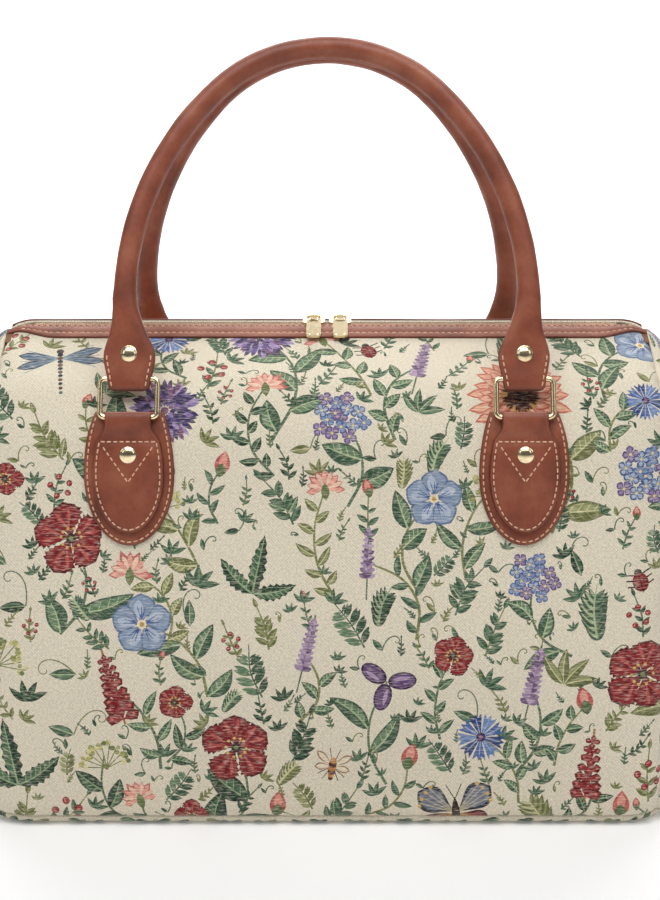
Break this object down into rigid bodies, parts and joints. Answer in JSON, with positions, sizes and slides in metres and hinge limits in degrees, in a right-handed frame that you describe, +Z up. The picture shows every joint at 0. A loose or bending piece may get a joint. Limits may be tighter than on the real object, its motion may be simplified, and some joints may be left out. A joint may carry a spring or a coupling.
{
  "type": "carpet bag",
  "caption": "Zip-topped holdall of woven floral tapestry with rolled leather handles on hinged rectangular rings, leather tabs and meeting zip sliders.",
  "frame": {"origin": "middle of the bag's footprint, on the surface it stands on", "axes": "+X along the bag's length to its right end, +Y from the front face to the back face, +Z up"},
  "size_m": [0.46, 0.1878, 0.4955],
  "materials": {
    "tapestry": "jacquard-woven floral tapestry on a cream ground",
    "lining": "plain woven lining",
    "board": "flat stiffener board",
    "leather": "smooth tan leather, edge-stitched",
    "zip_tape": "woven zip tape",
    "zip_teeth": "moulded coil teeth",
    "rope": "twisted rope filler",
    "gold_metal": "polished pale gold plating"
  },
  "bodies": {
    "bag": {"front_panel": "tapestry", "back_panel": "tapestry", "left_end_panel": "tapestry", "right_end_panel": "tapestry", "base_panel": "tapestry", "lining": "lining", "base_board": "board", "front_zip_trim": "leather", "front_zip_tape": "zip_tape", "front_zip_coil": "zip_teeth", "front_tab_rivets": "gold_metal", "front_left_shield": "leather", "front_left_tab": "leather", "front_right_shield": "leather", "front_right_tab": "leather", "back_zip_trim": "leather", "back_zip_tape": "zip_tape", "back_zip_coil": "zip_teeth", "back_tab_rivets": "gold_metal", "back_left_shield": "leather", "back_left_tab": "leather", "back_right_shield": "leather", "back_right_tab": "leather"},
    "front_left_ring": {"front_left_ring": "gold_metal"},
    "front_right_ring": {"front_right_ring": "gold_metal"},
    "front_handle": {"front_handle": "leather", "front_handle_core": "rope", "front_handle_rivets": "gold_metal"},
    "back_left_ring": {"back_left_ring": "gold_metal"},
    "back_right_ring": {"back_right_ring": "gold_metal"},
    "back_handle": {"back_handle": "leather", "back_handle_core": "rope", "back_handle_rivets": "gold_metal"},
    "left_slider": {"left_zip_slider": "gold_metal"},
    "left_pull": {"left_zip_pull": "gold_metal"},
    "right_slider": {"right_zip_slider": "gold_metal"},
    "right_pull": {"right_zip_pull": "gold_metal"}
  },
  "joints": [
    {"name": "front_left_ring_hinge", "type": "hinge", "parent": "bag", "child": "front_left_ring", "pos_m": [-0.1225, -0.07459, 0.25962], "axis": [1, 0, 0], "range_deg": [0, 150]},
    {"name": "front_right_ring_hinge", "type": "hinge", "parent": "bag", "child": "front_right_ring", "pos_m": [0.1225, -0.07459, 0.25962], "axis": [1, 0, 0], "range_deg": [0, 150]},
    {"name": "front_handle_hinge", "type": "hinge", "parent": "front_left_ring", "child": "front_handle", "pos_m": [-0.1225, -0.06715, 0.28254], "axis": [1, 0, 0], "range_deg": [0, 40]},
    {"name": "back_left_ring_hinge", "type": "hinge", "parent": "bag", "child": "back_left_ring", "pos_m": [-0.1225, 0.07562, 0.25934], "axis": [-1, 0, 0], "range_deg": [0, 150]},
    {"name": "back_right_ring_hinge", "type": "hinge", "parent": "bag", "child": "back_right_ring", "pos_m": [0.1225, 0.07562, 0.25934], "axis": [-1, 0, 0], "range_deg": [0, 150]},
    {"name": "back_handle_hinge", "type": "hinge", "parent": "back_left_ring", "child": "back_handle", "pos_m": [-0.1225, 0.06818, 0.28226], "axis": [-1, 0, 0], "range_deg": [0, 40]},
    {"name": "left_slider_travel", "type": "slide", "parent": "bag", "child": "left_slider", "axis": [-1, 0, 0], "range_m": [0, 0.178]},
    {"name": "left_pull_hinge", "type": "hinge", "parent": "left_slider", "child": "left_pull", "pos_m": [-0.00875, -0.00117, 0.31742], "axis": [-1, 0, 0], "range_deg": [0, 140]},
    {"name": "right_slider_travel", "type": "slide", "parent": "bag", "child": "right_slider", "axis": [1, 0, 0], "range_m": [0, 0.178]},
    {"name": "right_pull_hinge", "type": "hinge", "parent": "right_slider", "child": "right_pull", "pos_m": [0.00875, -0.00117, 0.31742], "axis": [-1, 0, 0], "range_deg": [0, 140]}
  ],
  "couplings": [
    {"joint": "front_right_ring_hinge", "follows": "front_left_ring_hinge", "ratio": 1},
    {"joint": "back_right_ring_hinge", "follows": "back_left_ring_hinge", "ratio": 1}
  ]
}
